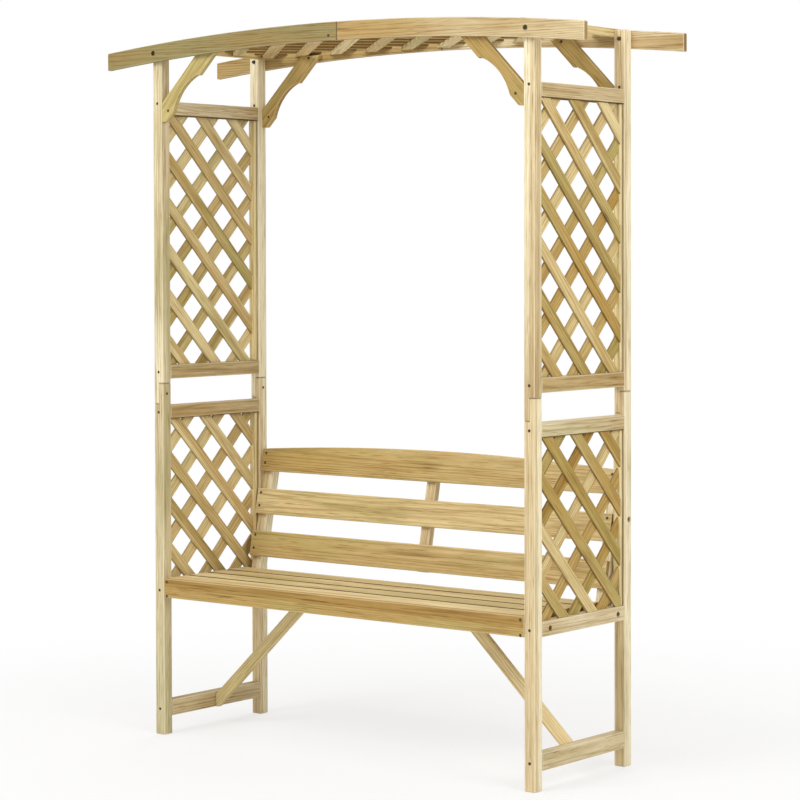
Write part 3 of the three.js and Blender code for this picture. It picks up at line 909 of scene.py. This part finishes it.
for side in SIDES:
    add_end_bearer(side)
    add_brace(side)
print("bearers and braces made")

# %% [markdown]
# ## The leaning back
# The back is three slats in front, two square supports at the ends and a thinner one behind
# the middle. The top slat is a crest rail with an arched upper edge. The pieces could be
# made upright and turned one by one, but small errors would part them. So the back is drawn
# in a small frame of its own, as if it stood upright, and one function lays each point back
# by the lean.

# %% Back slats and supports
BACK_EASE = 0.0025
CREST_RISE = 0.023
CREST_STEPS = 40
LOWER_START = 0.0337  # up the lean, from its zero to the lower slat
BACK_SLAT = 0.0768
BACK_GAP = 0.0518
CREST_GAP = 0.0537
CREST_END = 0.067
SUPPORT_DROP = 0.005
CENTRE_DEPTH = 0.022
CENTRE_INSET = 0.008
MIDDLE_START = LOWER_START + BACK_SLAT + BACK_GAP
CREST_START = MIDDLE_START + BACK_SLAT + CREST_GAP
CREST_TOP = CREST_START + CREST_END
low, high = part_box("back_slat_lower")
BACK_ORIGIN = Vector((0, low.y - LEAN_UP.y * LOWER_START,
                      high.z - LEAN_UP.z * (LOWER_START + BACK_SLAT)))
HALF_BACK = high.x


def lean_place(x, through, along):
    """A place in the back's own frame as a point in space."""
    return BACK_ORIGIN + RIGHT * x + LEAN_BACK * through + LEAN_UP * along


def leaning_board(node, outline, through, thickness, along, finish="honey_board"):
    """outline lists (x, along the lean); through is how far behind the slats' front it starts."""
    corners = [lean_place(x, through, rise) for x, rise in outline]
    across = LEAN_UP if along == RIGHT else RIGHT
    add_outline(node, corners, LEAN_BACK * thickness, along, across, finish, BACK_EASE)


def rectangle(x, rise):
    return [(x[0], rise[0]), (x[1], rise[0]), (x[1], rise[1]), (x[0], rise[1])]


width = (-HALF_BACK, HALF_BACK)
lower = rectangle(width, (LOWER_START, LOWER_START + BACK_SLAT))
middle = rectangle(width, (MIDDLE_START, MIDDLE_START + BACK_SLAT))
leaning_board("back_slat_lower", lower, 0, BOARD, RIGHT)
leaning_board("back_slat_middle", middle, 0, BOARD, RIGHT)
arc = hollow((-HALF_BACK, 0), (HALF_BACK, 0), CREST_RISE, CREST_STEPS)
crown = [(x, CREST_TOP - dip) for x, dip in reversed(arc)]
crest = [(-HALF_BACK, CREST_START), (HALF_BACK, CREST_START), (HALF_BACK, CREST_TOP),
         *crown, (-HALF_BACK, CREST_TOP)]
leaning_board("back_crest_rail", crest, 0, BOARD, RIGHT)
centre = rectangle((-STOCK / 2, STOCK / 2), (LOWER_START, CREST_TOP + CREST_RISE - CENTRE_INSET))
leaning_board("centre_back_support", centre, BOARD + FIT, CENTRE_DEPTH, LEAN_UP, "pale_frame")


def add_back_support(side):
    node = f"{side}_back_support"
    low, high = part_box(node)
    edges = (BOARD + FIT, BOARD + STOCK)
    foot = [(low.z - BACK_ORIGIN.z + edge * math.sin(LEAN)) / math.cos(LEAN) for edge in edges]
    top = CREST_TOP - SUPPORT_DROP
    corners = [lean_place(low.x, edges[0], foot[0]), lean_place(low.x, edges[1], foot[1]),
               lean_place(low.x, edges[1], top), lean_place(low.x, edges[0], top)]
    width = high.x - low.x
    add_outline(node, corners, RIGHT * width, LEAN_UP, RIGHT, "pale_frame", BACK_EASE)


for side in SIDES:
    add_back_support(side)
print("back origin:", [round(part, 4) for part in BACK_ORIGIN])

# %% [markdown]
# ## Bolts
# Ten bolts hold the beams to the posts and the bench to the side frames. Each has a low
# domed head with a round socket, sunk in a counterbore, and a nut with a washer on the inner
# side. A bolt could be a few stacked cylinders, but its edges would be hard, and a small
# dome shows best by its highlight. So the head, socket and shank are one profile spun about
# the bolt's own line, and the nut is a six-sided cone frustum with its corners eased.

# %% Bolts
HEAD = 0.0055
HEAD_HEIGHT = 0.004
DOME = ((0.66, -0.0004), (0.92, -0.0015), (1.0, -0.003))  # (part of HEAD, height)
SOCKET = 0.0024
SOCKET_RIM = 0.0004
SOCKET_FLOOR = 0.0022
SOCKET_POINT = 0.0026
NUT_HEIGHT = 0.005  # with its washer
NUT_EASE = 0.0006
WASHER = 0.0058
WASHER_THICK = 0.001
TAIL = 0.003
SHANK = 0.003
SHANK_POINT = 0.001


def spin_profile(shape, profile, steps=24):
    """Spins (radius, height) points about the Z axis into a closed solid."""
    points = [shape.verts.new((radius, 0, height)) for radius, height in profile]
    edges = [shape.edges.new(pair) for pair in zip(points, points[1:])]
    bmesh.ops.spin(
        shape, geom=points + edges, cent=(0, 0, 0), axis=(0, 0, 1), dvec=(0, 0, 0),
        angle=2 * math.pi, steps=steps, use_merge=True, use_duplicate=False,
    )
    bmesh.ops.remove_doubles(shape, verts=shape.verts, dist=0.00002)
    bmesh.ops.recalc_face_normals(shape, faces=shape.faces)


def bolt_shape(length):
    """A bolt that points up: its nut is at the bottom and its head's top is at z = 0."""
    shape = bmesh.new()
    socket = [(0, -SOCKET_POINT), (SOCKET, -SOCKET_FLOOR), (SOCKET, -SOCKET_RIM),
              (SOCKET * 1.2, 0)]
    dome = [(HEAD * part, height) for part, height in DOME]
    shank = [(HEAD, -HEAD_HEIGHT), (SHANK, -HEAD_HEIGHT), (SHANK, -length + SHANK_POINT),
             (SHANK * 0.8, -length), (0, -length)]
    spin_profile(shape, socket + dome + shank)
    nut = bmesh.new()
    thick = NUT_HEIGHT - WASHER_THICK
    bmesh.ops.create_cone(
        nut, cap_ends=True, segments=6, radius1=HEAD, radius2=HEAD, depth=thick,
    )
    ease_edges(nut, NUT_EASE)
    bmesh.ops.translate(nut, verts=nut.verts, vec=(0, 0, -length + TAIL + thick / 2))
    low = -length + TAIL + thick
    high = low + WASHER_THICK
    washer = bmesh.new()
    spin_profile(washer, [(0, low), (WASHER, low), (WASHER, high), (0, high)])
    take_in(shape, nut)
    take_in(shape, washer)
    return shape


def add_bolt(node, outward):
    low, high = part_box(node)
    middle = (low + high) / 2
    length = (high - low).dot(Vector([abs(part) for part in outward]))
    shape = bolt_shape(length)
    turn = outward.to_track_quat("Z", "Y").to_matrix()
    bmesh.ops.rotate(shape, verts=shape.verts, cent=(0, 0, 0), matrix=turn)
    bmesh.ops.translate(shape, verts=shape.verts, vec=middle + outward * (length / 2))
    for face in shape.faces:
        face.smooth = len(face.verts) == 4
    add_piece(node, shape, "zinc_steel")


BOLTS = {}
for side, way in SIDES.items():
    BOLTS[f"front_{side}_beam_bolt"] = -BACK
    BOLTS[f"back_{side}_beam_bolt"] = BACK
    for name in ("bearer_bolt", "support_bolt_lower", "support_bolt_upper"):
        BOLTS[f"{side}_{name}"] = RIGHT * way
for node, outward in BOLTS.items():
    add_bolt(node, outward)
print("bolts made:", len(BOLTS))

# %% [markdown]
# Each head lies in a flat-bottomed counterbore, which a drill leaves in the board. A dark
# disc could stand in for the hole, but it has no wall for the light to fall on. So the same
# cut is made here as on the real board: a short cylinder is taken away. The points that the
# cut adds know nothing of the grain, so it is written again for the whole board, and the
# wood runs on into the hole.

# %% Counterbores
BORE = 0.0075
BORE_DEPTH = 0.007
AXIS_ALONG = 0.5


def regrain(mesh, node):
    """Writes a board's grain again, because the points that a cut adds have none."""
    along, across, look, middle = BOARDS[node]
    through = along.cross(across)
    places = mesh.attributes["grain"].data
    for point in mesh.vertices:
        away = point.co - middle
        places[point.index].vector = (away.dot(along), away.dot(across), away.dot(through))
    mesh.attributes["look"].data.foreach_set("color", look * len(mesh.vertices))


def bore_cutter(node, bolt):
    """A short cylinder where the bolt leaves the outer face of the board."""
    outward = BOLTS[bolt]
    low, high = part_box(bolt)
    piece_low, piece_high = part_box(node)
    surface = (low + high) / 2
    for axis in range(3):
        if outward[axis] > AXIS_ALONG:
            surface[axis] = piece_high[axis]
        elif outward[axis] < -AXIS_ALONG:
            surface[axis] = piece_low[axis]
    cut = bmesh.new()
    bmesh.ops.create_cone(
        cut, cap_ends=True, segments=28, radius1=BORE, radius2=BORE, depth=BORE_DEPTH * 2,
    )
    turn = outward.to_track_quat("Z", "Y").to_matrix()
    bmesh.ops.rotate(cut, verts=cut.verts, cent=(0, 0, 0), matrix=turn)
    bmesh.ops.translate(cut, verts=cut.verts, vec=surface)
    cut.faces.layers.float.new("arris")
    grain = Grain(cut)
    along, across, look, middle = BOARDS[node]
    grain.write(along, across, look, middle)
    mesh = bpy.data.meshes.new("cut")
    cut.to_mesh(mesh)
    cut.free()
    cutter = bpy.data.objects.new("cut", mesh)
    bpy.context.scene.collection.objects.link(cutter)
    return cutter


def counterbore(node, bolt):
    cutter = bore_cutter(node, bolt)
    piece = bpy.data.objects[piece_name(node)]
    bore = piece.modifiers.new("bore", "BOOLEAN")
    bore.operation = "DIFFERENCE"
    bore.solver = "EXACT"
    bore.object = cutter
    bpy.context.view_layer.update()
    seen = piece.evaluated_get(bpy.context.evaluated_depsgraph_get())
    bored = bpy.data.meshes.new_from_object(seen)
    regrain(bored, node)
    piece.modifiers.remove(bore)
    spares = (piece.data, cutter.data)
    piece.data = bored
    bpy.data.objects.remove(cutter)
    for spare in spares:
        bpy.data.meshes.remove(spare)


BORES = []
for side in SIDES:
    BORES += [(f"{end}_beam_{side}", f"{end}_{side}_beam_bolt") for end in ("front", "back")]
    BORES += [(f"{side}_seat_rail", f"{side}_bearer_bolt"),
              (f"{side}_seat_rail", f"{side}_support_bolt_lower"),
              (f"back_{side}_post_lower", f"{side}_support_bolt_upper")]
for node, bolt in BORES:
    counterbore(node, bolt)
print("counterbores cut:", len(BORES))

# %% [markdown]
# ## Wood screws
# Everything else is screwed together with small countersunk screws. Each shows as a dark
# ring round a dull head with a cross slot: the ring is crushed wood and painted shade of the
# countersink, which is not cut. The threads are hidden, so only that is made: a thin disc, a
# small dome over it, and two crossed dark strips that paint the shade of the slot, some 20
# faces in all. Each screw is turned by chance, as a driver leaves it. They could be an object
# each, but they all do the same work, so the rings with the slots are one piece and the heads
# another.

# %% Screw heads
SCREW = 0.0026
CRUSHED_AND_SHADED = 0.0042
ROUND = 16
RING_RISE = 0.0002
HEAD_RISE = 0.0001
DOME_RISE = 0.0003
SLOT_RISE = 0.0005
DOME_SHARE = 0.3  # of the head's radius, from its rim to the top of the dome
SLOT_SHARES = (1.2, 0.28)  # a slot's length and width against that radius


def screw_parts(rings, heads, place, outward):
    turn = outward.to_track_quat("Z", "Y").to_matrix().to_4x4()
    spin = Matrix.Rotation(dice.uniform(0, math.pi), 4, "Z")
    stand = Matrix.Translation(place + outward * RING_RISE) @ turn @ spin
    # The dark disc is the ring of crushed wood and the painted shade of the countersink, which is
    # not cut.
    bmesh.ops.create_circle(rings, cap_ends=True, segments=ROUND, radius=CRUSHED_AND_SHADED, matrix=stand)
    lift = Matrix.Translation((0, 0, HEAD_RISE))
    made = bmesh.ops.create_circle(
        heads, cap_ends=True, segments=ROUND, radius=SCREW, matrix=stand @ lift,
    )["verts"]
    face = made[0].link_faces[0]
    bmesh.ops.inset_region(
        heads, faces=[face], thickness=SCREW * DOME_SHARE, depth=DOME_RISE,
    )
    long, wide = (SCREW * share for share in SLOT_SHARES)
    # The slot is two flat dark strips: painted shade in place of a cut slot.
    for quarter in range(2):
        cross = Matrix.Rotation(quarter * math.pi / 2, 4, "Z")
        slot = stand @ Matrix.Translation((0, 0, SLOT_RISE)) @ cross
        bmesh.ops.create_grid(
            rings, x_segments=1, y_segments=1, size=0.5,
            matrix=slot @ Matrix.Diagonal((long, wide, 1, 1)),
        )


print("a screw head is", 2 * SCREW, "m wide in a ring of", 2 * CRUSHED_AND_SHADED, "m")

# %% [markdown]
# The screws could be scattered by eye, but they follow from the pieces: one through each post
# into the end of each rail, one through each half-lapped post, one more high in the front of
# each back post, two in each bracket, two at each end of the apron and of each back slat, and
# one in the middle of the front beam's halved joint.

# %% Where the screws go
BRACKET_SCREWS = ((0.002, 0.034), (0.235, 0.026))  # (along, across) the bracket
APRON_SCREWS = (0.005, 0.0105)  # above its lower edge and below its upper edge
APRON_SCREW_X = 0.630
BACK_SCREWS = (0.024, 0.0135)  # the same for the back slats
BACK_SCREW_X = 0.627
TOP_RAIL_RAISE = 0.013
REAR_POST_RAISE = 0.026
SEAM_SCREW = (0.001, 1.997)  # across and up


def rail_heights():
    heights = []
    for rail in ("stretcher", "seat_rail", "lower_panel_rail", "upper_panel_rail", "top_rail"):
        low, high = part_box(f"right_{rail}")
        heights.append((low.z + high.z) / 2)
    return heights


def screw_heights():
    """The screws of the top rail are driven a little above its middle."""
    heights = rail_heights()
    return heights[:-1] + [heights[-1] + TOP_RAIL_RAISE]


def screw_places():
    places = []
    post_middle = OUTER - STOCK / 2
    lap = (LAP_BOTTOM + LAP_TOP) / 2
    for side, way in SIDES.items():
        for height in screw_heights():
            places.append((Vector((way * post_middle, FRONT, height)), -BACK))
            places.append((Vector((way * post_middle, REAR, height)), BACK))
        for depth in (FRONT + STOCK / 2, REAR - STOCK / 2):
            places.append((Vector((-way * INNER, depth, lap)), RIGHT * way))
        for end in ("front", "back"):
            face = FRONT + FIT if end == "front" else REAR - BOARD - FIT
            for along, across in BRACKET_SCREWS:
                places.append((bracket_place(side, face, along, across), -BACK))
        apron_low, apron_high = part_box("seat_apron")
        for height in (apron_low.z + APRON_SCREWS[0], apron_high.z - APRON_SCREWS[1]):
            places.append((Vector((way * APRON_SCREW_X, apron_low.y, height)), -BACK))
        for start, width in ((LOWER_START, BACK_SLAT), (MIDDLE_START, BACK_SLAT),
                             (CREST_START, CREST_END)):
            for rise in (start + BACK_SCREWS[0], start + width - BACK_SCREWS[1]):
                places.append((lean_place(way * BACK_SCREW_X, 0, rise), -LEAN_BACK))
        height = rail_heights()[-1] + REAR_POST_RAISE
        places.append((Vector((way * post_middle, REAR - STOCK, height)), -BACK))
    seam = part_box("front_beam_left")[0].y
    places.append((Vector((SEAM_SCREW[0], seam, SEAM_SCREW[1])), -BACK))
    return places


def add_screws():
    rings, heads = bmesh.new(), bmesh.new()
    places = screw_places()
    for place, outward in places:
        screw_parts(rings, heads, place, outward)
    metal = FINISHES["zinc_steel"]
    for name, shape, finish in (("screw-rings", rings, HOLE), ("screw-heads", heads, metal)):
        mesh = bpy.data.meshes.new(name)
        shape.to_mesh(mesh)
        shape.free()
        mesh.materials.append(finish)
        piece = bpy.data.objects.new(name, mesh)
        bpy.context.scene.collection.objects.link(piece)
        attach(piece, "root")
    return len(places)


print("screws driven:", add_screws())

# %% [markdown]
# ## Studio
# The photo is a cut-out on white with flat, soft light. White could come from strong lamps,
# but they would bleach the wood as well. So the floor is pale paper that keeps the seat's
# shadow. It also glows, but only to the camera and in reflections: in part near the seat, and
# fully farther off. The world is white to the camera and in reflections too, and a soft even
# grey to all the rest.

# %% Floor and world
FLOOR_SIZE = 14.0
FLOOR_GLOW = 0.65  # the part of the glow that stays beside the seat
FADE = (0.6, 2.6)  # from here to there the floor fades to white
AMBIENT = 0.60
floor_shape = bmesh.new()
bmesh.ops.create_grid(floor_shape, x_segments=1, y_segments=1, size=FLOOR_SIZE)
floor_mesh = bpy.data.meshes.new("floor")
floor_shape.to_mesh(floor_mesh)
floor_shape.free()
floor = bpy.data.objects.new("floor", floor_mesh)
bpy.context.scene.collection.objects.link(floor)

paper = Finish("white paper")
paper.shape(Base_Color=(0.85, 0.85, 0.85, 1.0), Roughness=0.95)
here = paper.node("ShaderNodeTexCoord", {}, {})["Object"]
reach = paper.node("ShaderNodeVectorMath", {"operation": "LENGTH"}, {0: here})["Value"]
path = paper.node("ShaderNodeLightPath", {}, {})
seen = path["Is Camera Ray"]
for ray in ("Is Glossy Ray", "Is Transmission Ray"):
    seen = seen.math("MAXIMUM", path[ray])
glow = paper.node("ShaderNodeEmission", {}, {"Color": (1.0, 1.0, 1.0, 1.0), "Strength": 1.0})
part = seen * (reach.between(*FADE) * (1.0 - FLOOR_GLOW) + FLOOR_GLOW)
blend = paper.node("ShaderNodeMixShader", {}, {0: part})
blend_node = blend["Shader"].socket.node
paper.tree.links.new(paper.shader.outputs[0], blend_node.inputs[1])
paper.tree.links.new(glow["Emission"].socket, blend_node.inputs[2])
output = paper.tree.nodes["Material Output"]
paper.tree.links.new(blend["Shader"].socket, output.inputs["Surface"])
floor_mesh.materials.append(paper.material)

world = bpy.data.worlds.new("studio")
bpy.context.scene.world = world
world.use_nodes = True
nodes = world.node_tree.nodes
links = world.node_tree.links
nodes.clear()
rays = nodes.new("ShaderNodeLightPath")
shown = rays.outputs["Is Camera Ray"]
for ray in ("Is Glossy Ray", "Is Transmission Ray"):
    either = nodes.new("ShaderNodeMath")
    either.operation = "MAXIMUM"
    links.new(shown, either.inputs[0])
    links.new(rays.outputs[ray], either.inputs[1])
    shown = either.outputs[0]
ambient = nodes.new("ShaderNodeBackground")
ambient.inputs["Color"].default_value = (1.0, 0.99, 0.97, 1.0)
ambient.inputs["Strength"].default_value = AMBIENT
white = nodes.new("ShaderNodeBackground")
white.inputs["Color"].default_value = (1.0, 1.0, 1.0, 1.0)
white.inputs["Strength"].default_value = 1.0
blend = nodes.new("ShaderNodeMixShader")
output = nodes.new("ShaderNodeOutputWorld")
links.new(shown, blend.inputs[0])
links.new(ambient.outputs[0], blend.inputs[1])
links.new(white.outputs[0], blend.inputs[2])
links.new(blend.outputs[0], output.inputs[0])
print("floor glow beside the seat:", FLOOR_GLOW, "ambient:", AMBIENT)

# %% [markdown]
# The seat was lit by large soft lamps from the front and the right, and its faces differ only
# a little in brightness. Spot lamps would throw hard shadows of the lattice over the seat, so
# these are wide area lamps: one in front, a weaker one at the right, and a faint one behind
# that opens the shadows of the back.

# %% Lamps
MIDDLE_HEIGHT = 1.0
LAMPS = (  # name, place, width in metres, power in watts
    ("front softbox", (-0.8, -4.6, 4.6), 2.6, 165),
    ("right softbox", (4.6, -1.2, 3.4), 2.2, 95),
    ("rear fill", (-2.4, 4.8, 3.6), 2.6, 60),
)


def add_lamp(name, place, size, power):
    lamp = bpy.data.lights.new(name, "AREA")
    lamp.size = size
    lamp.energy = power
    lamp_object = bpy.data.objects.new(name, lamp)
    bpy.context.scene.collection.objects.link(lamp_object)
    lamp_object.location = place
    aim = Vector((0, 0, MIDDLE_HEIGHT)) - Vector(place)
    lamp_object.rotation_euler = aim.to_track_quat("-Z", "Y").to_euler()


for lamp in LAMPS:
    add_lamp(*lamp)
print("lamps:", ", ".join(lamp[0] for lamp in LAMPS))

# %% [markdown]
# The camera stands where the photo was taken from, about seven metres off at the front right
# and at chest height. It could be placed by eye, but a few degrees change how every rail
# runs. So its place, turn and focal length were fitted to forty corners of the frame in the
# photo. The upright edges stay nearly parallel there, as they do when a lens is shifted and
# not tilted. So the lens here has a small shift, given by the row of the picture that the
# camera looks straight at.

# %% Camera
CAMERA_PLACE = Vector((4.4523, -5.3661 + FRONT, 1.3989))
CAMERA_YAW = 0.6661
CAMERA_DIP = 0.0259
CAMERA_ROLL = 0.0024
FOCAL_PIXELS = 2539.4
PICTURE = 800
MIDDLE_ROW = 320  # the row that the camera looks straight at
SENSOR = 36.0
camera_data = bpy.data.cameras.new("camera")
camera_data.sensor_width = SENSOR
camera_data.lens = FOCAL_PIXELS / PICTURE * SENSOR
camera_data.shift_y = (MIDDLE_ROW - PICTURE / 2) / PICTURE
camera = bpy.data.objects.new("camera", camera_data)
bpy.context.scene.collection.objects.link(camera)
camera.location = CAMERA_PLACE
camera.rotation_euler = (math.pi / 2 - CAMERA_DIP, CAMERA_ROLL, CAMERA_YAW)
bpy.context.scene.camera = camera
bpy.context.scene.view_settings.view_transform = "Standard"
print("lens:", round(camera_data.lens, 1), "mm, shift:", round(camera_data.shift_y, 3))
